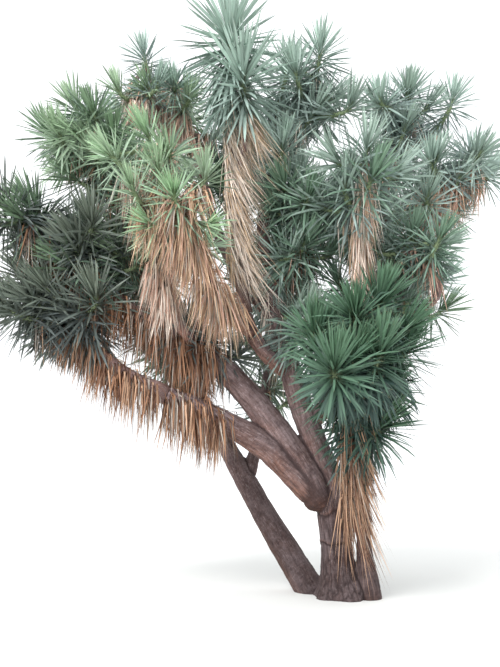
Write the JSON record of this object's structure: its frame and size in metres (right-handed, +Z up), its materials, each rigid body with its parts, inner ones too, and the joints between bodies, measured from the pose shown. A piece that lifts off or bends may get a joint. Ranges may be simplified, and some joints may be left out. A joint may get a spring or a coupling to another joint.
{
  "type": "spineless yucca tree",
  "caption": "Old spineless yucca: swollen foot, low fork, long bare leaning limbs, and spiky heads of sword leaves over skirts of hanging dead leaves.",
  "frame": {"origin": "middle of the flat cut under the main trunk, at ground level", "axes": "+Z up the trunk, +Y away from the side that is seen in the picture, +X to the right in it"},
  "size_m": [7.9884, 5.7792, 9.0984],
  "materials": {
    "bark": "rough, fibrous, grey-brown bark",
    "foliage": "satin green sword leaves, with matt straw-coloured dead ones under them"
  },
  "bodies": {
    "root": {"back_centre_bough": "bark", "back_left_bough": "bark", "back_low_bough": "bark", "back_right_bough": "bark", "back_stem": "bark", "back_top_bough": "bark", "centre_bough": "bark", "foliage_back_centre": "foliage", "foliage_back_left": "foliage", "foliage_back_low": "foliage", "foliage_back_right": "foliage", "foliage_back_right_low": "foliage", "foliage_back_top": "foliage", "foliage_front_left": "foliage", "foliage_front_low": "foliage", "foliage_inner_centre": "foliage", "foliage_left_shoulder": "foliage", "foliage_long_bough_end": "foliage", "foliage_low_bough_end": "foliage", "foliage_low_front": "foliage", "foliage_right_front": "foliage", "foliage_right_low": "foliage", "foliage_right_shoulder": "foliage", "foliage_right_upper": "foliage", "foliage_tall_head": "foliage", "foliage_top_right": "foliage", "foliage_upper_left": "foliage", "front_bough": "bark", "front_left_bough": "bark", "long_bough": "bark", "low_bough": "bark", "right_bough": "bark", "right_front_bough": "bark", "right_low_bough": "bark", "right_upper_bough": "bark", "shoulder_bough": "bark", "side_stem": "bark", "tall_bough": "bark", "trunk": "bark", "upper_left_bough": "bark", "upright_bough": "bark"}
  },
  "joints": []
}
